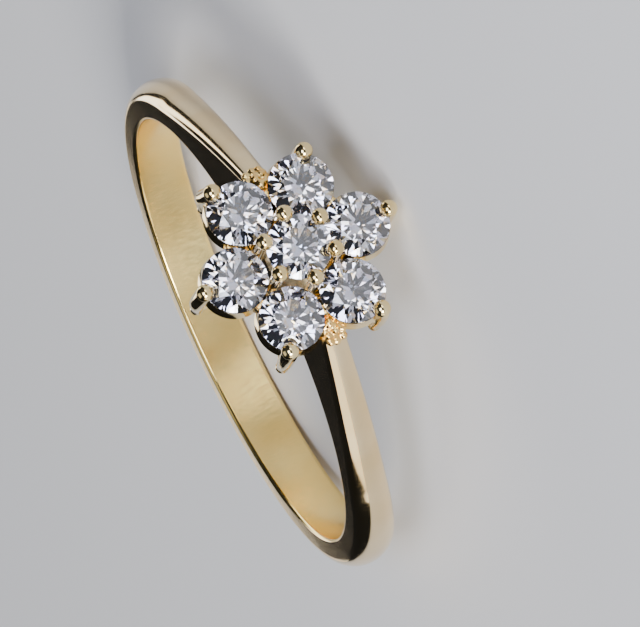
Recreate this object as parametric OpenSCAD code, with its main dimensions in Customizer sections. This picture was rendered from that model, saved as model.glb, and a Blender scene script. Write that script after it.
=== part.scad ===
// Flower cluster ring: a tapered gold band with seven round brilliants, six petals round a
// raised centre stone. The finger axis lies nearly upright, because the ring rests on its side.
// Pieces are drawn in the head's own frame, X along the band, Y along the finger hole and
// Z out through the flower, with the origin in the centre of the finger hole.

/* [Band] */
// Radius of the finger hole
finger_r = 8.65; // [8.2:0.05:9.2]
// Thickness of the band at its sides, measured to the crown of its domed outside
band_t = 1.36; // [1.2:0.02:1.5]
// Radius of the dome across the outside of the band, past half the width of the back
dome_past = 0.125; // [0.1:0.025:0.5]
// Shift of the outer outline towards the back, which thickens the back
back_shift = 0.28; // [0.1:0.02:0.3]
// Width of the band at the back
back_w = 2.05; // [1.8:0.05:2.15]
// Width that the band narrows to at the level of the petal stones
head_w = 0.87; // [0.75:0.02:1.1]
// Radius of the long arcs that the shoulders rise on
shoulder_r = 37; // [30:1:44]
// Angle from the flower at which the shoulders leave the round of the band
shoulder_a = 61; // [58:1:66]
// Thickness of the band where it passes under the flower
bridge_t = 0.8; // [0.6:0.05:1]

/* [Stones] */
// Diameter of each stone at its girdle
stone_d = 2.44; // [2.3:0.02:2.6]
// Gap between the girdles of two stones that lie side by side
petal_gap = 0.07; // [0.065:0.005:0.12]
// Height of the petal girdles above the finger hole
petal_rise = 3.95; // [3.7:0.05:4.2]
// Rise of the centre stone above the petals
centre_rise = 1; // [0.8:0.05:1.1]
// Diameter of the table as a share of the stone's
table_share = 0.57; // [0.53:0.01:0.62]
// Slope of the crown's main facets
crown_a = 34.5; // [32:0.5:36]
// Slope of the pavilion's main facets
pavilion_a = 41; // [40:0.2:42]
// Thickness of the girdle where it is thinnest
girdle_t = 0.01; // [0.01:0.005:0.03]
// Gap between each stone and the gold
seat_gap = 0.025; // [0.02:0.005:0.03]

/* [Setting] */
// Height of the cup under each petal stone
cup_h = 0.85; // [0.7:0.05:1]
// Wall of the cup
cup_t = 0.28; // [0.22:0.02:0.34]
// Overhang of the cup past its stone
cup_lip = 0.015; // [0.01:0.001:0.02]
// Radius of the beads that hold the stones
bead_r = 0.29; // [0.28:0.01:0.32]
// Height of the beads' centres above the girdles
bead_h = 0.2; // [0.17:0.01:0.25]
// Distance of the bead centres past the girdle that they hold
bead_out = 0.03; // [0:0.01:0.05]
// Radius of the claw wires at the beads
claw_r = 0.26; // [0.22:0.01:0.27]
// Radius of the petal claws at their feet
claw_foot_r = 0.19; // [0.16:0.01:0.21]
// Distance of the petal claws' axes past the girdle
claw_out = 0.08; // [0.05:0.01:0.15]
// Depth to which the inner claws sink into the cups beside them
claw_bite = 0.015; // [0.01:0.005:0.04]
// Radius of the balls that end the petal claws
foot_r = 0.22; // [0.215:0.005:0.25]
// Height of the claw feet above the finger hole
foot_rise = 1.45; // [1.3:0.05:1.6]
// Radius of the arms that join the feet to the base ring
arm_r = 0.18; // [0.15:0.01:0.2]

/* [Base and shoulders] */
// Height to which the ring that the flower stands on rises above its arms' axes
base_rise = 0.25; // [0.2:0.05:0.3]
// Rim of that ring past the feet of the inner claws
base_lip = 0.1; // [0.05:0.01:0.2]
// Distance that the shoulders reach in below the petal stones, past their centres
shoulder_in = 0.1; // [0:0.05:0.3]
// Distance past the petal centres at which the tops of the shoulders end
shoulder_out = 0.74; // [0.7:0.02:0.9]
// Radius of the webs that join two cups
web_r = 0.24; // [0.2:0.01:0.27]
// Distance of the webs past the line between two petal centres
web_out = 0.19; // [0.15:0.01:0.25]
// Radius of the posts between shoulder and cups
post_r = 0.36; // [0.32:0.02:0.4]
// Distance of the posts past the line between two petal centres
post_out = 0.49; // [0.45:0.01:0.55]
// Radius of the cast bumps on the ends of the shoulders
bump_r = 0.17; // [0.14:0.01:0.2]

/* [Hidden] */
petals = 6;
petal_step = 360 / petals;
facets = 8;
facet_step = 360 / facets;
girdle_sides = 2 * facets;
round_fn = 240;
small_fn = 48;
girdle_fn = 64;
gold = [0.93, 0.76, 0.42];
diamond = [0.87, 0.91, 0.97];

// Places in the head's frame, which follow the stones
stone_r = stone_d / 2;
petal_reach = stone_d + petal_gap;
petal_h = finger_r + petal_rise;
centre_h = petal_h + centre_rise;
foot_h = finger_r + foot_rise;
claw_reach = petal_reach + stone_r + claw_out;
notch_reach = petal_reach * cos(petal_step / 2);
cup_r = stone_r + cup_lip;
inner_reach = notch_reach - sqrt(pow(cup_r + claw_r - claw_bite, 2) - pow(petal_reach * sin(petal_step / 2), 2));
base_r = inner_reach + claw_r + base_lip;
base_hole_r = inner_reach - claw_r - base_lip;

// The crown of the outside: a circle, and two long arcs that rise to the flower from just below it
band_r = finger_r + band_t;
back_r = band_r + back_shift;
arc_sink = 0.02;
arc_offset = shoulder_r - band_r + arc_sink;
arc_x = arc_offset * sin(shoulder_a);
arc_z = -back_shift - arc_offset * cos(shoulder_a);
dome_r = back_w / 2 + dome_past;
blank_w = back_w + dome_past;

// The band narrows from the back to the flower, slowly at first and then faster
taper = (back_w - head_w) / 2;
taper_run = petal_h + back_r;
flank_steps = 24;
function half_width(z) = back_w / 2 - taper * pow((z + back_r) / taper_run, 2);

// The ring lies on its side: the back's lower edge and the lowest claw foot share the floor
edge_r = back_r - dome_r + sqrt(pow(dome_r, 2) - pow(back_w / 2, 2));
rest_run = edge_r + foot_h;
rest_rise = claw_reach - back_w / 2;
rest_tilt = asin(foot_r / norm([rest_run, rest_rise])) + atan2(rest_rise, rest_run);

// Proportions of the cut: how far the star facets reach out, and the lower halves reach in
star_share = 0.763;
lower_share = 0.24;
polygon_r = stone_r / cos(180 / girdle_sides);
table_r = table_share * stone_r;
crown_h = (stone_r - table_r) * tan(crown_a);
pavilion_h = stone_r * tan(pavilion_a);
star_r = star_share * stone_r;
lower_r = lower_share * stone_r;
half_girdle = girdle_t / 2;
crown_slope = (crown_h - half_girdle) / (polygon_r - table_r);
pavilion_slope = (pavilion_h - half_girdle) / polygon_r;
star_z = half_girdle + (polygon_r - star_r * cos(facet_step / 2)) * crown_slope;
lower_z = -pavilion_h + lower_r * cos(facet_step / 2) * pavilion_slope;
facet_lift = (polygon_r - stone_r) * pavilion_slope;

// The cups, and the level at which the shoulders carry them
cup_floor = petal_h - cup_h;
overlap = 0.05;
reach_out = 30;

function ring_of(r, z, count, turn) =
    [for (k = [0:count - 1]) [r * cos(turn + k * 360 / count), r * sin(turn + k * 360 / count), z]];

// Turns the head's frame so that the flower faces -Y and the ring lies on its side
module lay_down() {
    rotate([-rest_tilt, 0, 0]) rotate([-90, 0, 180]) children();
}

module at_petal(angle) {
    rotate([0, 0, angle]) translate([petal_reach, 0, petal_h]) children();
}

// A round brilliant with table, stars, kites, halves and mains; its girdle lies at z = 0
module brilliant() {
    table_at = 0;
    star_at = facets;
    top_at = 2 * facets;
    bottom_at = top_at + girdle_sides;
    lower_at = bottom_at + girdle_sides;
    culet_at = lower_at + facets;
    points = concat(
        ring_of(table_r, crown_h, facets, 0),
        ring_of(star_r, star_z, facets, facet_step / 2),
        ring_of(polygon_r, half_girdle, girdle_sides, 0),
        ring_of(polygon_r, -half_girdle, girdle_sides, 0),
        ring_of(lower_r, lower_z, facets, facet_step / 2),
        [[0, 0, -pavilion_h]]);
    faces = concat(
        [[for (k = [facets - 1:-1:0]) table_at + k]],
        [for (k = [0:facets - 1]) [table_at + k, table_at + (k + 1) % facets, star_at + k]],
        [for (k = [0:facets - 1])
            [table_at + k, star_at + k, top_at + 2 * k, star_at + (k + facets - 1) % facets]],
        [for (k = [0:facets - 1]) [star_at + k, top_at + 2 * k + 1, top_at + 2 * k]],
        [for (k = [0:facets - 1])
            [star_at + k, top_at + (2 * k + 2) % girdle_sides, top_at + 2 * k + 1]],
        [for (k = [0:girdle_sides - 1])
            [top_at + k, top_at + (k + 1) % girdle_sides,
             bottom_at + (k + 1) % girdle_sides, bottom_at + k]],
        [for (k = [0:facets - 1]) [lower_at + k, bottom_at + 2 * k, bottom_at + 2 * k + 1]],
        [for (k = [0:facets - 1])
            [lower_at + k, bottom_at + 2 * k + 1, bottom_at + (2 * k + 2) % girdle_sides]],
        [for (k = [0:facets - 1])
            [culet_at, lower_at + (k + facets - 1) % facets, bottom_at + 2 * k, lower_at + k]]);
    intersection() {
        polyhedron(points = points, faces = faces, convexity = 2);
        cylinder(h = 2 * (crown_h + pavilion_h), r = stone_r, center = true, $fn = girdle_fn);
    }
}

// The room cut for a stone: its round outline through the tips of its facets, larger by the gap
module stone_seat() {
    seat_r = stone_r + seat_gap;
    rim = half_girdle + facet_lift + seat_gap;
    rotate_extrude($fn = 2 * small_fn)
        polygon([[0, -pavilion_h - 2 * seat_gap], [lower_r, lower_z - 2 * seat_gap], [seat_r, -rim],
                 [seat_r, rim], [star_r + seat_gap, star_z + seat_gap],
                 [table_r + seat_gap, crown_h + seat_gap], [0, crown_h + seat_gap]]);
}

// A round disc across the finger axis whose rim is domed, as a circle of the crown's radius
module domed_disc(crown_r) {
    rotate([90, 0, 0]) rotate_extrude($fn = 2 * round_fn) {
        translate([0, -blank_w / 2]) square([crown_r - dome_r, blank_w]);
        intersection() {
            translate([crown_r - dome_r, 0]) circle(r = dome_r, $fn = round_fn);
            translate([0, -blank_w / 2]) square([crown_r, blank_w]);
        }
    }
}

// The wedge, seen along the finger axis, in which the shoulders rise
module shoulder_wedge() {
    reach_x = reach_out * sin(shoulder_a);
    reach_z = reach_out * cos(shoulder_a) - back_shift;
    rotate([90, 0, 0]) linear_extrude(height = 2 * blank_w, center = true)
        polygon([[0, -back_shift], [reach_x, reach_z], [reach_x, reach_out], [-reach_x, reach_out],
                 [-reach_x, reach_z]]);
}

module band_blank() {
    translate([0, 0, -back_shift]) domed_disc(band_r);
    intersection() {
        translate([arc_x, 0, arc_z]) domed_disc(shoulder_r);
        translate([-arc_x, 0, arc_z]) domed_disc(shoulder_r);
        shoulder_wedge();
    }
}

// The band's two flanks as they are seen along the band, carried straight across it
module flanks() {
    levels = [for (k = [0:flank_steps]) -back_r - overlap + (taper_run + overlap) * k / flank_steps];
    rotate([90, 0, 90]) linear_extrude(height = 3 * band_r, center = true)
        polygon(concat([for (z = levels) [half_width(z), z]],
                       [for (k = [flank_steps:-1:0]) [-half_width(levels[k]), levels[k]]]));
}

// The band with its rising shoulders, cut away where the flower stands
module band() {
    difference() {
        intersection() {
            band_blank();
            flanks();
        }
        rotate([90, 0, 0]) cylinder(h = 2 * blank_w, r = finger_r, center = true, $fn = round_fn);
        translate([0, 0, finger_r + bridge_t])
            cylinder(h = reach_out, r = petal_reach - shoulder_in, $fn = 2 * small_fn);
        translate([0, 0, cup_floor + overlap])
            cylinder(h = reach_out, r = petal_reach + shoulder_out, $fn = 2 * small_fn);
    }
}

module base_ring() {
    base_floor = finger_r + bridge_t / 2;
    base_h = foot_h + base_rise - base_floor;
    translate([0, 0, base_floor]) difference() {
        cylinder(h = base_h, r = base_r, $fn = 2 * small_fn);
        translate([0, 0, -overlap])
            cylinder(h = base_h + 2 * overlap, r = base_hole_r, $fn = 2 * small_fn);
    }
}

// The tube under a petal stone; the seat cut leaves its rim just below the girdle
module cup() {
    translate([0, 0, -cup_h]) difference() {
        cylinder(h = cup_h, r = cup_r, $fn = 2 * small_fn);
        translate([0, 0, -overlap])
            cylinder(h = cup_h + 2 * overlap, r = cup_r - cup_t, $fn = 2 * small_fn);
    }
}

// A claw at the far end of a petal, with its foot and the arm that joins it to the base ring
module petal_claw() {
    translate([claw_reach, 0, foot_h]) {
        cylinder(h = petal_h + bead_h - foot_h, r1 = claw_foot_r, r2 = claw_r, $fn = small_fn);
        sphere(r = foot_r, $fn = small_fn);
    }
    translate([petal_reach + stone_r + bead_out, 0, petal_h + bead_h])
        sphere(r = bead_r, $fn = small_fn);
    translate([base_hole_r + overlap, 0, foot_h]) rotate([0, 90, 0])
        cylinder(h = claw_reach - base_hole_r - overlap, r = arm_r, $fn = small_fn);
}

// A claw between two petals that holds the centre stone
module inner_claw() {
    translate([inner_reach, 0, foot_h])
        cylinder(h = centre_h + bead_h - foot_h, r = claw_r, $fn = small_fn);
    translate([stone_r + bead_out + overlap, 0, centre_h + bead_h]) sphere(r = bead_r, $fn = small_fn);
}

module web() {
    translate([notch_reach + web_out, 0, cup_floor])
        cylinder(h = cup_h - bump_r, r = web_r, $fn = small_fn);
}

// The post between two cups that ends a shoulder, with the bumps left by the casting
module shoulder_post() {
    translate([notch_reach + post_out, 0, 0]) {
        translate([0, 0, cup_floor - overlap])
            cylinder(h = cup_h - bead_r + overlap, r = post_r, $fn = small_fn);
        for (side = [-1, 1])
            translate([post_r, side * post_r / 2, cup_floor + bump_r / 2])
                sphere(r = bump_r, $fn = small_fn);
        translate([bump_r, 0, cup_h + cup_floor - bead_r]) sphere(r = bump_r, $fn = small_fn);
    }
}

module shank_and_setting() {
    color(gold) lay_down() difference() {
        union() {
            band();
            base_ring();
            for (k = [0:petals - 1]) {
                at_petal(petal_step * (k + 0.5)) cup();
                rotate([0, 0, petal_step * (k + 0.5)]) petal_claw();
                rotate([0, 0, petal_step * k]) {
                    inner_claw();
                    web();
                }
            }
            for (turn = [0, 180]) rotate([0, 0, turn]) shoulder_post();
        }
        translate([0, 0, centre_h]) stone_seat();
        for (k = [0:petals - 1]) at_petal(petal_step * (k + 0.5)) stone_seat();
    }
}

module center_stone() {
    color(diamond) lay_down() translate([0, 0, centre_h]) brilliant();
}

// Petals are numbered round the flower from the one beside the shoulder on +X of the head
module petal_stone(number) {
    color(diamond) lay_down() at_petal(petal_step * (number - 0.5)) brilliant();
}

shank_and_setting();
center_stone();
petal_stone(1);  // petal_stone_1
petal_stone(2);  // petal_stone_2
petal_stone(3);  // petal_stone_3
petal_stone(4);  // petal_stone_4
petal_stone(5);  // petal_stone_5
petal_stone(6);  // petal_stone_6
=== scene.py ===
import math

import bmesh
import bpy
from mathutils import Matrix, Vector


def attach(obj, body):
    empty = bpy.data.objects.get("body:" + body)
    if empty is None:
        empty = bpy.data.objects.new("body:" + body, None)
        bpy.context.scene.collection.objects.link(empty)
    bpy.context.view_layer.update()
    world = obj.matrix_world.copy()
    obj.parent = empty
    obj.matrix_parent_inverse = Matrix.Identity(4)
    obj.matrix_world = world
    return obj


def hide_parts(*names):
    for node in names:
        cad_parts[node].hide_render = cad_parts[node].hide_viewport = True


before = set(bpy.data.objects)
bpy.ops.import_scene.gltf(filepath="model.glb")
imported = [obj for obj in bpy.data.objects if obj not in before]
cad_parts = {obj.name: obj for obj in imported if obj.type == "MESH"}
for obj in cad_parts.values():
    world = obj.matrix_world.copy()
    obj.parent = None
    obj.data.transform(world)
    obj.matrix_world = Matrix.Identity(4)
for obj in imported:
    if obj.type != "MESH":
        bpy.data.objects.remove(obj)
bpy.context.view_layer.update()
print("frame loaded:", len(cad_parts), "nodes")

# Pieces are modelled in millimetres in the head's frame: X along the band, Y along the finger
# hole, Z out through the flower. The rest pose then lays them on the ring's side, in metres.
restPose = {"tilt": 8.6536, "unit": 0.001, "floor": -0.002467}
headToRow = (Matrix.Rotation(-math.radians(restPose["tilt"]), 4, "X")
             @ Matrix(((-1, 0, 0, 0), (0, 0, -1, 0), (0, -1, 0, 0), (0, 0, 0, 1)))
             @ Matrix.Scale(restPose["unit"], 4))

# The stones' places and facets, as packed, and the seats that they take out of the gold
stones = {"radius": 1.22, "reach": 2.51, "petalHeight": 12.6, "centreHeight": 13.6,
          "tableRadius": 0.695, "crownHeight": 0.361, "starRadius": 0.931, "starHeight": 0.264,
          "lowerRadius": 0.293, "lowerHeight": -0.829, "pavilion": 1.061,
          "gap": 0.025, "seatRim": 0.056, "seatSteps": 96}
# Turns about the flower's middle in degrees: the notches between petals, the petals, the two
# petals beside the first notch, and the two shoulders
notchTurns = [60 * k for k in range(6)]
petalTurns = [turn + 30 for turn in notchTurns]
besideTurns = (30, -30)
shoulderTurns = (0, 180)

# Distances within which points are joined or picked, the size of the plane that an outline starts
# from, the smallest tip of a stem, and how much large faces weigh in the smoothing, in percent
making = {"merge": 0.0004, "seamMerge": 0.002, "near": 0.01, "startPlane": 0.01,
          "tipRadius": 0.012, "flatWeight": 80}
# Angles in degrees above which an edge stays sharp
creases = {"band": 30, "setting": 40, "lumps": 60}


# Small helpers for modelling

def pickOnly(piece):
    bpy.ops.object.select_all(action="DESELECT")
    piece.select_set(True)
    bpy.context.view_layer.objects.active = piece


def editOn(piece):
    pickOnly(piece)
    bpy.ops.object.mode_set(mode="EDIT")


def editOff():
    bpy.ops.object.mode_set(mode="OBJECT")


def pickPoints(piece, test):
    bpy.ops.mesh.select_mode(type="VERT")
    bpy.ops.mesh.select_all(action="DESELECT")
    mesh = bmesh.from_edit_mesh(piece.data)
    for point in mesh.verts:
        point.select = test(point.co)
    mesh.select_flush_mode()
    bmesh.update_edit_mesh(piece.data)


def closeUp(piece):
    editOn(piece)
    bpy.ops.mesh.select_all(action="SELECT")
    bpy.ops.mesh.remove_doubles(threshold=making["merge"])
    bpy.ops.mesh.normals_make_consistent(inside=False)
    editOff()


def joinSeam():
    bpy.ops.mesh.select_all(action="SELECT")
    bpy.ops.mesh.remove_doubles(threshold=making["seamMerge"])


def drawOutline(name, outline, across="XZ"):
    # one point drawn along the outline by extruding it; the piece stays in edit mode
    bpy.ops.object.select_all(action="DESELECT")
    bpy.ops.mesh.primitive_plane_add(size=making["startPlane"])
    piece = bpy.context.object
    piece.name = piece.data.name = name
    editOn(piece)
    bpy.ops.mesh.select_all(action="SELECT")
    bpy.ops.mesh.merge(type="CENTER")
    place = Vector((0, 0, 0))
    for first, second in outline:
        following = Vector((first, 0, second)) if across == "XZ" else Vector((first, second, 0))
        step = following - place
        if place.length == 0:
            bpy.ops.transform.translate(value=step)  # to the outline's start
        else:
            bpy.ops.mesh.extrude_vertices_move(TRANSFORM_OT_translate={"value": step})
        place = following
    return piece


def spinOutline(name, outline, steps, axisX=0.0):
    # an outline in the XZ plane, spun about an upright axis
    piece = drawOutline(name, [(axisX + reach, level) for reach, level in outline])
    bpy.ops.mesh.select_all(action="SELECT")
    bpy.ops.mesh.spin(steps=steps, angle=math.tau, center=(axisX, 0, 0), axis=(0, 0, 1))
    editOff()
    closeUp(piece)
    return piece


def startDisc(name, sides, radius, place, turn=0.0):
    # a flat disc, turned about Y; it stays in edit mode, to be drawn out
    bpy.ops.object.select_all(action="DESELECT")
    bpy.ops.mesh.primitive_circle_add(vertices=sides, radius=radius, fill_type="NGON",
                                      location=place, rotation=(0, turn, 0))
    piece = bpy.context.object
    piece.name = piece.data.name = name
    bpy.ops.object.transform_apply(location=True, rotation=True, scale=True)
    editOn(piece)
    bpy.ops.mesh.select_all(action="SELECT")
    return piece


def growStem(name, levels, sides):
    # a disc drawn up through its levels, each with its place and radius
    *place, radius = levels[0]
    piece = startDisc(name, sides, radius, place)
    for here, there in zip(levels, levels[1:]):
        step = tuple(there[k] - here[k] for k in range(3))
        bpy.ops.mesh.extrude_region_move(TRANSFORM_OT_translate={"value": step})
        ratio = there[3] / here[3]
        bpy.ops.transform.resize(value=(ratio, ratio, 1), center_override=there[:3])
    editOff()
    closeUp(piece)
    return piece


def ballLevels(x, level, radius, span):
    # levels of a ball between two turns in degrees, counted from its lowest point
    start, end, count = span
    turns = [math.radians(start + (end - start) * k / (count - 1)) for k in range(count)]
    return [(x, 0, level - radius * math.cos(turn),
             max(radius * math.sin(turn), making["tipRadius"])) for turn in turns]


def applyChange(piece, change):
    pickOnly(piece)
    bpy.ops.object.modifier_apply(modifier=change.name)


def cutAway(piece, cutter):
    cut = piece.modifiers.new("cut", "BOOLEAN")
    cut.operation = "DIFFERENCE"
    cut.solver = "EXACT"
    cut.object = cutter
    applyChange(piece, cut)


def discard(*pieces):
    for piece in pieces:
        bpy.data.objects.remove(piece)


def turnPiece(piece, turn):
    piece.data.transform(Matrix.Rotation(math.radians(turn), 4, "Z"))


def ownCopy(piece, name, turn=0.0):
    twin = piece.copy()
    twin.data = piece.data.copy()
    twin.name = twin.data.name = name
    bpy.context.scene.collection.objects.link(twin)
    turnPiece(twin, turn)
    return twin


def placePiece(piece, material, crease):
    # smoothed with its large faces kept flat, then laid in the row's frame, dressed and riding
    pickOnly(piece)
    bpy.ops.object.shade_smooth_by_angle(angle=math.radians(crease))
    even = piece.modifiers.new("even", "WEIGHTED_NORMAL")
    even.keep_sharp = True
    even.weight = making["flatWeight"]
    applyChange(piece, even)
    piece.data.transform(headToRow)
    piece.data.materials.clear()
    piece.data.materials.append(material)
    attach(piece, "root")


# Finishes. Noise scales are per millimetre and bump depths are in millimetres. The noise lies
# mostly within its span, which the ranges and colours are spread over.
noiseSpan = (0.3, 0.7)
noiseDetail = {"cloud": 3, "grain": 5, "paintedTintAndFire": 2, "polish": 3}


def startMaterial(name, values):
    material = bpy.data.materials.new(name)
    material.use_nodes = True
    nodes, links = material.node_tree.nodes, material.node_tree.links
    shader = nodes["Principled BSDF"]
    for socket, value in values.items():
        shader.inputs[socket].default_value = value
    place = nodes.new("ShaderNodeTexCoord").outputs["Object"]
    return material, nodes, links, shader, place


def addNoise(nodes, links, place, scale, detail, stretch=(1, 1, 1)):
    mapping = nodes.new("ShaderNodeMapping")
    mapping.inputs["Scale"].default_value = stretch
    links.new(place, mapping.inputs["Vector"])
    noise = nodes.new("ShaderNodeTexNoise")
    noise.inputs["Scale"].default_value = scale / restPose["unit"]
    noise.inputs["Detail"].default_value = detail
    links.new(mapping.outputs["Vector"], noise.inputs["Vector"])
    return noise.outputs["Fac"]


def addRange(nodes, links, value, source, target):
    spread = nodes.new("ShaderNodeMapRange")
    ends = {"From Min": source[0], "From Max": source[1], "To Min": target[0], "To Max": target[1]}
    for socket, end in ends.items():
        spread.inputs[socket].default_value = end
    links.new(value, spread.inputs["Value"])
    return spread.outputs["Result"]


def addColours(nodes, links, value, stops):
    ramp = nodes.new("ShaderNodeValToRGB")
    elements = ramp.color_ramp.elements
    elements[0].position, elements[1].position = stops[0][0], stops[-1][0]
    for position, colour in stops[1:-1]:
        elements.new(position)
    for element, (position, colour) in zip(elements, stops):
        element.color = (*colour, 1)
    links.new(value, ramp.inputs["Fac"])
    return ramp.outputs["Color"]


def addBump(nodes, links, value, depth, below=None):
    bump = nodes.new("ShaderNodeBump")
    bump.inputs["Distance"].default_value = depth * restPose["unit"]
    bump.inputs["Strength"].default_value = 1.0
    links.new(value, bump.inputs["Height"])
    if below:
        links.new(below, bump.inputs["Normal"])
    return bump.outputs["Normal"]


def goldFinish(name, look):
    material, nodes, links, shader, place = startMaterial(name, {"Metallic": 1.0})
    cloud = addNoise(nodes, links, place, look["cloudScale"], noiseDetail["cloud"])
    grain = addNoise(nodes, links, place, look["grainScale"], noiseDetail["grain"],
                     look["grainStretch"])
    colour = addColours(nodes, links, cloud, list(zip(noiseSpan, (look["deep"], look["light"]))))
    roughness = addRange(nodes, links, grain, noiseSpan, look["roughness"])
    wave = addBump(nodes, links, cloud, look["waveDepth"])
    links.new(colour, shader.inputs["Base Color"])
    links.new(roughness, shader.inputs["Roughness"])
    links.new(addBump(nodes, links, grain, look["grainDepth"], wave), shader.inputs["Normal"])
    return material


polishedLook = {"deep": (0.90, 0.67, 0.34), "light": (0.97, 0.77, 0.45),
                "roughness": (0.06, 0.13), "cloudScale": 0.5, "waveDepth": 0.003,
                "grainScale": 14, "grainStretch": (1, 1, 0.15), "grainDepth": 0.00003}
# The hole's wall: rougher, for its satin finish, and painted a more saturated yellow gold that
# stands in for the glow of light inside the hole
boreSatinAndGlowLook = {"deep": (0.94, 0.66, 0.20), "light": (1.0, 0.79, 0.31),
            "roughness": (0.14, 0.26), "cloudScale": 0.35, "waveDepth": 0.001,
            "grainScale": 9, "grainStretch": (1, 1, 0.3), "grainDepth": 0.00006}
settingLook = {"deep": (0.87, 0.64, 0.27), "light": (0.96, 0.79, 0.42),
               "roughness": (0.07, 0.16), "cloudScale": 1.6, "waveDepth": 0.008,
               "grainScale": 20, "grainStretch": (1, 1, 1), "grainDepth": 0.0003}
castLook = {"deep": (0.91, 0.51, 0.13), "light": (1.0, 0.76, 0.32),
            "roughness": (0.12, 0.26), "cloudScale": 2.4, "waveDepth": 0.05,
            "grainScale": 16, "grainStretch": (1, 1, 1), "grainDepth": 0.0006}
polishedGold = goldFinish("polishedGold", polishedLook)
boreSatinAndGlowGold = goldFinish("boreSatinAndGlowGold", boreSatinAndGlowLook)
settingGold = goldFinish("settingGold", settingLook)
castGold = goldFinish("castGold", castLook)


def brilliantFinish(name, look):
    material, nodes, links, shader, place = startMaterial(
        name, {"Transmission Weight": 1.0, "IOR": look["ior"]})
    cloud = addNoise(nodes, links, place, look["cloudScale"], noiseDetail["paintedTintAndFire"])
    polish = addNoise(nodes, links, place, look["polishScale"], noiseDetail["polish"])
    roughness = addRange(nodes, links, polish, noiseSpan, look["roughness"])
    # the base colour carries the painted blue tint of light and the painted fire
    links.new(addColours(nodes, links, cloud, look["paintedTintAndFire"]), shader.inputs["Base Color"])
    links.new(roughness, shader.inputs["Roughness"])
    return material


# The stone is colourless: its faint blue tint is painted light, and its blue, lilac and orange
# flecks are painted fire
stoneLook = {"ior": 2.417, "cloudScale": 2.2, "polishScale": 6, "roughness": (0.0, 0.0015),
             "paintedTintAndFire": [(0.32, (0.58, 0.68, 1.0)), (0.41, (0.82, 0.85, 1.0)),
                      (0.45, (0.94, 0.76, 0.98)), (0.49, (0.84, 0.89, 1.0)),
                      (0.57, (0.85, 0.90, 1.0)), (0.61, (1.0, 0.60, 0.26)),
                      (0.65, (0.85, 0.90, 1.0))]}
brilliantStone = brilliantFinish("brilliantStone", stoneLook)
for name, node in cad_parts.items():
    node.data.materials.clear()
    node.data.materials.append(settingGold if name == "shank_and_setting" else brilliantStone)
print("finishes made")

# The band: a D section spun round the finger hole, then tapered towards the flower. A point more
# than wallMargin beyond the bore is on the outside, a wall point past innerShare of the half width
# is on an inner edge, and a face that looks into the hole by more than boreFacing is its wall.
# Each room, given by its radius and lowest level, is cut away for the flower.
shankSizes = {"bore": 8.65, "round": 10.01, "backShift": 0.28, "dome": 1.15, "backHalf": 1.025,
              "headNarrowing": 0.59, "taperRun": 22.89, "taperRounds": 3,
              "arcRadius": 37.0, "arcX": 23.623, "arcZ": -13.375, "shoulderAngle": 61,
              "topLevel": 12.35, "leastRise": 0.1, "domeSteps": 28, "turnSteps": 216,
              "wallMargin": 0.1, "ridgeRound": 0.16, "innerRound": 0.15, "innerSteps": 4,
              "innerShare": 0.8, "boreFacing": 0.5,
              "rooms": [(2.41, 9.45), (3.25, 11.8)], "roomHeight": 10, "roomSteps": 96}


def crownRadius(size, angle):
    # distance of the outside's crown from the hole's centre; the angle is measured from the flower
    roundReach = (-size["backShift"] * math.cos(angle)
                  + math.sqrt(size["round"] ** 2 - (size["backShift"] * math.sin(angle)) ** 2))
    across, out = math.sin(abs(angle)), math.cos(angle)
    x, z = roundReach * across, roundReach * out + size["backShift"]
    if math.degrees(math.atan2(x, z)) > size["shoulderAngle"]:
        return roundReach
    middle = -size["arcX"] * across + size["arcZ"] * out
    arcReach = middle + math.sqrt(middle ** 2 + size["arcRadius"] ** 2
                                  - size["arcX"] ** 2 - size["arcZ"] ** 2)
    return max(roundReach, min(arcReach, size["topLevel"] / max(out, size["leastRise"])))


def halfWidth(size, height):
    back = size["round"] + size["backShift"]
    return size["backHalf"] - size["headNarrowing"] * ((height + back) / size["taperRun"]) ** 2


def spinBand(size):
    # the hole's wall is drawn in three strips, the dome is spun on it, and both go round the hole;
    # the piece stays in edit mode until its inner edges are rounded
    bore, half = size["bore"], size["backHalf"]
    domeCentre = size["round"] + size["backShift"] - size["dome"]
    edge = domeCentre + math.sqrt(size["dome"] ** 2 - half ** 2)
    outline = [(edge, -half), (bore, -half), (bore, -half / 3), (bore, half / 3), (bore, half),
               (edge, half)]
    piece = drawOutline("shank", outline, "XY")
    pickPoints(piece, lambda point: point.x > edge - making["near"] and point.y < 0)
    bpy.ops.mesh.spin(steps=size["domeSteps"], angle=-2 * math.asin(half / size["dome"]),
                      center=(domeCentre, 0, 0), axis=(0, 0, 1))
    joinSeam()
    bpy.ops.mesh.select_all(action="SELECT")
    bpy.ops.mesh.spin(steps=size["turnSteps"], angle=math.tau, center=(0, 0, 0), axis=(0, 1, 0))
    joinSeam()
    return piece


def taperBand(size, piece):
    # the width follows the height and the outside follows the crown, with its two ridges rounded
    ridge = size["ridgeRound"]
    mesh = bmesh.from_edit_mesh(piece.data)
    for point in mesh.verts:
        angle = math.atan2(point.co.x, point.co.z)
        share = point.co.y / size["backHalf"]
        outside = math.hypot(point.co.x, point.co.z) > size["bore"] + size["wallMargin"]
        crown = crownRadius(size, angle)
        reach = crown if outside else size["bore"]
        for _ in range(size["taperRounds"]):
            wide = halfWidth(size, reach * math.cos(angle))
            across = share * wide
            if outside:
                beyond = min(max(abs(across) - wide + ridge, 0), ridge)
                drop = ridge - math.sqrt(ridge ** 2 - beyond ** 2)
                reach = crown - size["dome"] + math.sqrt(size["dome"] ** 2 - across ** 2) - drop
        point.co = (reach * math.sin(angle), across, reach * math.cos(angle))
    bmesh.update_edit_mesh(piece.data)


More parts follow.
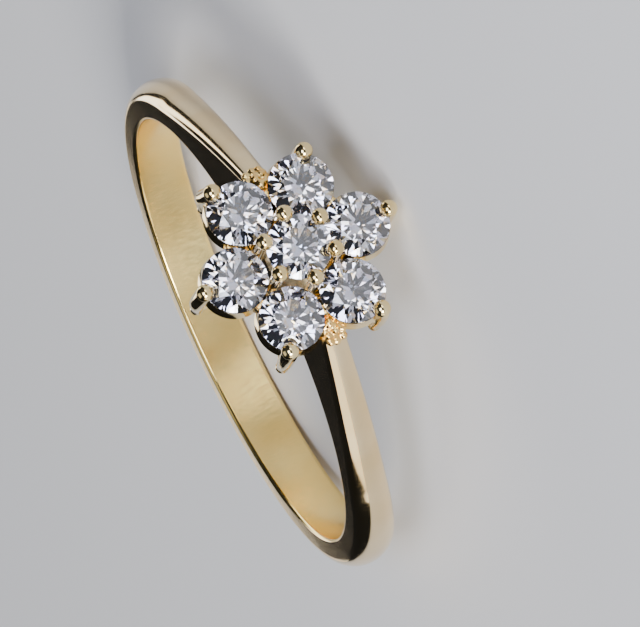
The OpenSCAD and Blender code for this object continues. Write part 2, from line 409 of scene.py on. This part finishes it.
def roundInnerEdges(size, piece):
    pickPoints(piece, lambda point: math.hypot(point.x, point.z) < size["bore"] + making["near"]
               and abs(point.y) > size["innerShare"] * halfWidth(size, point.z))
    bpy.ops.mesh.bevel(offset=size["innerRound"], segments=size["innerSteps"], affect="EDGES")
    editOff()
    closeUp(piece)


def makeShank(size):
    piece = spinBand(size)
    taperBand(size, piece)
    roundInnerEdges(size, piece)
    for radius, level in size["rooms"]:
        bpy.ops.mesh.primitive_cylinder_add(
            vertices=size["roomSteps"], radius=radius, depth=size["roomHeight"],
            location=(0, 0, level + size["roomHeight"] / 2))
        room = bpy.context.object
        cutAway(piece, room)
        discard(room)
    return piece


def findBoreFaces(size, piece):
    limit = size["bore"] + size["innerRound"] / 2
    return [face.index for face in piece.data.polygons
            if math.hypot(face.center.x, face.center.z) < limit
            and math.hypot(face.normal.x, face.normal.z) > size["boreFacing"]]


shank = makeShank(shankSizes)
boreFaces = findBoreFaces(shankSizes, shank)
placePiece(shank, polishedGold, creases["band"])
# the hole's wall takes the gold with the painted glow of light
shank.data.materials.append(boreSatinAndGlowGold)
for number in boreFaces:
    shank.data.polygons[number].material_index = 1
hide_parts("shank_and_setting")
print("shank made:", len(shank.data.polygons), "faces")


# The room that a stone takes out of the gold
def makeSeat(axisX, height):
    gap, rim = stones["gap"], stones["seatRim"]
    half = stones["radius"] + gap
    outline = [(0, -stones["pavilion"] - 2 * gap),
               (stones["lowerRadius"], stones["lowerHeight"] - 2 * gap),
               (half, -rim), (half, rim),
               (stones["starRadius"] + gap, stones["starHeight"] + gap),
               (stones["tableRadius"] + gap, stones["crownHeight"] + gap),
               (0, stones["crownHeight"] + gap)]
    return spinOutline("seat", [(reach, height + level) for reach, level in outline],
                       stones["seatSteps"], axisX)


# Cups: open tubes with a seat cut inside and a swollen, rounded lower rim. The levels are
# measured from the petal stones' girdles, and the swell starts rimStart rim heights up.
cupSizes = {"outer": 1.235, "inner": 0.955, "floor": -0.85, "top": -0.06, "rimSwell": 0.075,
            "rimHeight": 0.3, "rimStart": 1.5, "rimSteps": 10, "steps": 64}


def makeCup(size):
    gap, rim = stones["gap"], stones["seatRim"]
    half = stones["radius"] + gap
    seatSlope = (-rim - stones["lowerHeight"] + 2 * gap) / (half - stones["lowerRadius"])
    seatLevel = -rim + (size["inner"] - half) * seatSlope
    middle = (size["outer"] + size["rimSwell"] + size["inner"]) / 2
    halfWall = (size["outer"] + size["rimSwell"] - size["inner"]) / 2
    outline = [(size["outer"], size["top"]),
               (size["outer"], size["floor"] + size["rimStart"] * size["rimHeight"])]
    for k in range(size["rimSteps"] + 1):
        turn = math.pi * k / size["rimSteps"]
        outline.append((middle + halfWall * math.cos(turn),
                        size["floor"] + size["rimHeight"] / 2 * (1 - math.sin(turn))))
    outline += [(size["inner"], seatLevel), (size["outer"], size["top"])]
    return spinOutline("cupModel", [(reach, stones["petalHeight"] + level)
                                    for reach, level in outline], size["steps"], stones["reach"])


# Claws of the petals: a ball foot, a slim stem and a bead cut to hold the stone. A span gives
# the part of a ball that shows and its steps, and the bows are how far the six stems swing out.
clawSizes = {"axis": 3.81, "footLevel": 10.1, "footRadius": 0.25, "footSpan": (0, 115, 9),
             "neck": 0.235, "neckLevel": 10.34, "stem": 0.325, "stemLevel": 12.45, "stemSteps": 5,
             "bead": 0.335, "beadReach": 3.77, "beadLevel": 12.86, "beadSpan": (68, 180, 12),
             "sides": 32, "bows": [0.04, 0.04, 0.2, 0.2, 0.1, 0.05]}


def makePetalClaw(size):
    levels = ballLevels(size["axis"], size["footLevel"], size["footRadius"], size["footSpan"])
    levels.append((size["axis"], 0, size["neckLevel"], size["neck"]))
    for k in range(1, size["stemSteps"] + 1):
        share = k / size["stemSteps"]
        level = size["neckLevel"] + share * (size["stemLevel"] - size["neckLevel"])
        swell = math.sin(share * math.pi / 2) * (size["stem"] - size["neck"])
        levels.append((size["axis"], 0, level, size["neck"] + swell))
    levels += ballLevels(size["beadReach"], size["beadLevel"], size["bead"], size["beadSpan"])
    return growStem("clawModel", levels, size["sides"])


def bowOut(size, piece, bow):
    low, high = size["footLevel"], size["stemLevel"]
    for point in piece.data.vertices:
        share = min(max((point.co.z - low) / (high - low), 0), 1)
        point.co.x += bow * math.sin(math.pi * share) ** 2


# Arms from the base ring out to the feet
armSizes = {"level": 10.1, "radius": 0.18, "from": 1.2, "to": 3.81, "sides": 24, "steps": 6}


def makeArm(size):
    piece = startDisc("armModel", size["sides"], size["radius"],
                      (size["from"], 0, size["level"]), math.pi / 2)
    for _ in range(size["steps"]):
        step = ((size["to"] - size["from"]) / size["steps"], 0, 0)
        bpy.ops.mesh.extrude_region_move(TRANSFORM_OT_translate={"value": step})
    editOff()
    closeUp(piece)
    return piece


# Inner claws, which hold the centre stone
innerSizes = {"axis": 1.389, "foot": 9.9, "stem": 0.255, "stemLevel": 13.5, "stemSteps": 5,
              "bead": 0.325, "beadReach": 1.31, "beadLevel": 13.86, "beadSpan": (68, 180, 12),
              "sides": 32}


def makeInnerClaw(size):
    rise = size["stemLevel"] - size["foot"]
    levels = [(size["axis"], 0, size["foot"] + k / size["stemSteps"] * rise, size["stem"])
              for k in range(size["stemSteps"] + 1)]
    levels += ballLevels(size["beadReach"], size["beadLevel"], size["bead"], size["beadSpan"])
    return growStem("innerModel", levels, size["sides"])


# The ring that the flower stands on, with its upper edges rounded. The middle of a rounding lies
# in from the corner by roundCut of its size.
baseSizes = {"outer": 1.749, "inner": 1.029, "floor": 9.1, "top": 10.35, "round": 0.07,
             "roundCut": 0.3, "steps": 72}


def makeBaseRing(size):
    outer, inner, top, ease = size["outer"], size["inner"], size["top"], size["round"]
    cut = ease * size["roundCut"]
    outline = [(outer, size["floor"]), (outer, top - ease), (outer - cut, top - cut),
               (outer - ease, top), (inner + ease, top), (inner + cut, top - cut),
               (inner, top - ease), (inner, size["floor"]), (outer, size["floor"])]
    return spinOutline("baseRing", outline, size["steps"])


# Webs that fillet two neighbouring cups. The profile gives each level from the floor or the top,
# with its share of the radius.
webSizes = {"axis": 2.364, "radius": 0.24, "floor": 11.75, "top": 12.43, "sides": 24,
            "profile": [("floor", 0, 0.7), ("floor", 0.05, 0.93), ("floor", 0.14, 1),
                        ("top", -0.12, 1), ("top", -0.03, 0.85), ("top", 0, 0.5)]}


def makeWeb(size):
    levels = [(size["axis"], 0, size[end] + rise, size["radius"] * share)
              for end, rise, share in size["profile"]]
    return growStem("webModel", levels, size["sides"])


# Posts on the ends of the shoulders, with the lumps left by the casting, each given by its place
# and radius. They are melted together and softened.
postSizes = {"axis": 2.664, "radius": 0.34, "floor": 11.4, "top": 12.3, "ease": 0.1,
             "topShare": 0.7, "sides": 32, "lumpSteps": 3,
             "lumps": [(3.0, 0.24, 11.93, 0.27), (3.0, -0.24, 11.95, 0.27),
                       (2.84, 0.02, 12.2, 0.27), (3.3, 0.25, 11.88, 0.21),
                       (3.28, -0.26, 11.9, 0.22), (2.9, -0.22, 12.14, 0.19),
                       (3.2, 0.0, 12.0, 0.25), (3.48, 0.04, 11.86, 0.19),
                       (2.98, 0.27, 12.1, 0.18), (3.17, 0.4, 12.03, 0.17),
                       (3.43, 0.33, 11.93, 0.16), (3.16, 0.1, 12.2, 0.17),
                       (3.47, -0.2, 11.93, 0.16), (3.24, -0.2, 12.1, 0.16)],
             "voxel": 0.028, "softenRounds": 9, "softenShare": 0.5}


def makePost(size):
    levels = [(size["axis"], 0, size["floor"], size["radius"]),
              (size["axis"], 0, size["top"] - size["ease"], size["radius"]),
              (size["axis"], 0, size["top"], size["radius"] * size["topShare"])]
    post = growStem("postModel", levels, size["sides"])
    lumps = []
    for x, y, z, radius in size["lumps"]:
        bpy.ops.object.select_all(action="DESELECT")
        bpy.ops.mesh.primitive_ico_sphere_add(subdivisions=size["lumpSteps"], radius=radius,
                                              location=(x, y, z))
        bpy.ops.object.transform_apply(location=True, rotation=True, scale=True)
        lumps.append(bpy.context.object)
    pickOnly(post)
    for lump in lumps:
        lump.select_set(True)
    bpy.ops.object.join()
    blend = post.modifiers.new("blend", "REMESH")
    blend.mode = "VOXEL"
    blend.voxel_size = size["voxel"]
    applyChange(post, blend)
    soften = post.modifiers.new("soften", "SMOOTH")
    soften.iterations = size["softenRounds"]
    soften.factor = size["softenShare"]
    applyChange(post, soften)
    return post


centreSeat = makeSeat(0, stones["centreHeight"])
petalSeat = makeSeat(stones["reach"], stones["petalHeight"])
besideSeats = [ownCopy(petalSeat, "besideSeat", turn) for turn in besideTurns]
cup = makeCup(cupSizes)
claw = makePetalClaw(clawSizes)
cutAway(claw, petalSeat)
arm = makeArm(armSizes)
inner = makeInnerClaw(innerSizes)
web = makeWeb(webSizes)
post = makePost(postSizes)
for seat in (centreSeat, *besideSeats):
    cutAway(inner, seat)
for seat in besideSeats:
    cutAway(web, seat)
    cutAway(post, seat)
print("setting pieces modelled")

for number, (turn, bow) in enumerate(zip(petalTurns, clawSizes["bows"]), 1):
    placePiece(ownCopy(cup, "petalCup%d" % number, turn), settingGold, creases["setting"])
    bowed = ownCopy(claw, "petalClaw%d" % number)
    bowOut(clawSizes, bowed, bow)
    turnPiece(bowed, turn)
    placePiece(bowed, settingGold, creases["setting"])
    placePiece(ownCopy(arm, "arm%d" % number, turn), settingGold, creases["setting"])
for number, turn in enumerate(notchTurns, 1):
    placePiece(ownCopy(inner, "innerClaw%d" % number, turn), settingGold, creases["setting"])
    placePiece(ownCopy(web, "cupWeb%d" % number, turn), castGold, creases["setting"])
for number, turn in enumerate(shoulderTurns, 1):
    placePiece(ownCopy(post, "shoulderPost%d" % number, turn), castGold, creases["lumps"])
placePiece(makeBaseRing(baseSizes), settingGold, creases["setting"])
discard(cup, claw, arm, inner, web, post, centreSeat, petalSeat, *besideSeats)
print("setting placed")

# The camera at the photograph's angle
cameraSizes = {"lens": 686.6, "place": (-0.0617635, -0.4305071, 0.1504691),
               "right": (-0.439225, -0.244425, -0.864487), "up": (0.888542, -0.260190, -0.377881),
               "back": (-0.132567, -0.934108, 0.331463)}
cameraData = bpy.data.cameras.new("photoCamera")
cameraData.lens = cameraSizes["lens"]
viewer = bpy.data.objects.new("photoCamera", cameraData)
bpy.context.scene.collection.objects.link(viewer)
axes = Matrix([cameraSizes[name] for name in ("right", "up", "back")])
viewer.matrix_world = Matrix.Translation(cameraSizes["place"]) @ axes.transposed().to_4x4()
bpy.context.scene.camera = viewer

# A plain pale floor and soft studio light. The air is brighter the more it lies towards airTurn.
# Each softbox is given by its azimuth from the back, its elevation and distance, its width and
# height, its brightness and its colour.
studio = {"floorSize": 0.8, "floorShade": (0.74, 0.74, 0.75, 1), "floorRoughness": 0.9,
          "floorGloss": 0.1, "airTurn": (0, -0.9, 0.45), "airSpan": (0.0, 0.7),
          "airStrength": (0.015, 0.05), "airColour": (0.8, 0.86, 1, 1),
          "softboxes": [("topSoftbox", 0, 76, 0.36, 0.28, 0.28, 0.8, (1, 0.99, 0.97)),
                        ("keySoftbox", -126, 21, 0.38, 0.14, 0.13, 36.0, (1, 0.99, 0.97)),
                        ("leftSoftbox", -85, 15, 0.36, 0.2, 0.19, 1.95, (1, 0.95, 0.86)),
                        ("frontSoftbox", 163, 6, 0.38, 0.24, 0.07, 6.0, (1, 0.98, 0.94)),
                        ("cameraSoftbox", -168, 41, 0.4, 0.22, 0.15, 10.5, (0.80, 0.85, 1)),
                        ("rightCard", 47, 13.0, 0.36, 0.47, 0.085, 3.6, (1, 0.98, 0.95)),
                        ("backCard", 6, 1.1, 0.36, 0.13, 0.018, 1.3, (1, 0.95, 0.85))]}
bpy.ops.object.select_all(action="DESELECT")
bpy.ops.mesh.primitive_plane_add(size=studio["floorSize"], location=(0, 0, restPose["floor"]))
bpy.ops.object.transform_apply(location=True, rotation=True, scale=True)
floor = bpy.context.object
floor.name = "paleFloor"
floor.data.materials.append(startMaterial(
    "paleFloor", {"Base Color": studio["floorShade"], "Roughness": studio["floorRoughness"],
                  "Specular IOR Level": studio["floorGloss"]})[0])

world = bpy.data.worlds.new("studio")
bpy.context.scene.world = world
world.use_nodes = True
airNodes, airLinks = world.node_tree.nodes, world.node_tree.links
towards = airNodes.new("ShaderNodeVectorMath")
towards.operation = "DOT_PRODUCT"
towards.inputs[1].default_value = studio["airTurn"]
airLinks.new(airNodes.new("ShaderNodeTexCoord").outputs["Generated"], towards.inputs[0])
airShade = addRange(airNodes, airLinks, towards.outputs["Value"], studio["airSpan"],
                    studio["airStrength"])
airNodes["Background"].inputs["Color"].default_value = studio["airColour"]
airLinks.new(airShade, airNodes["Background"].inputs["Strength"])


def addSoftbox(name, azimuth, elevation, distance, width, height, brightness, colour):
    light = bpy.data.lights.new(name, "AREA")
    light.shape = "RECTANGLE"
    light.size, light.size_y = width, height
    light.energy = brightness * math.pi * width * height
    light.color = colour
    holder = bpy.data.objects.new(name, light)
    bpy.context.scene.collection.objects.link(holder)
    turn, rise = math.radians(azimuth), math.radians(elevation)
    place = distance * Vector((math.sin(turn) * math.cos(rise), math.cos(turn) * math.cos(rise),
                               math.sin(rise)))
    holder.location = place
    holder.rotation_euler = (-place).to_track_quat("-Z", "Y").to_euler()


for softbox in studio["softboxes"]:
    addSoftbox(*softbox)
print("studio set")
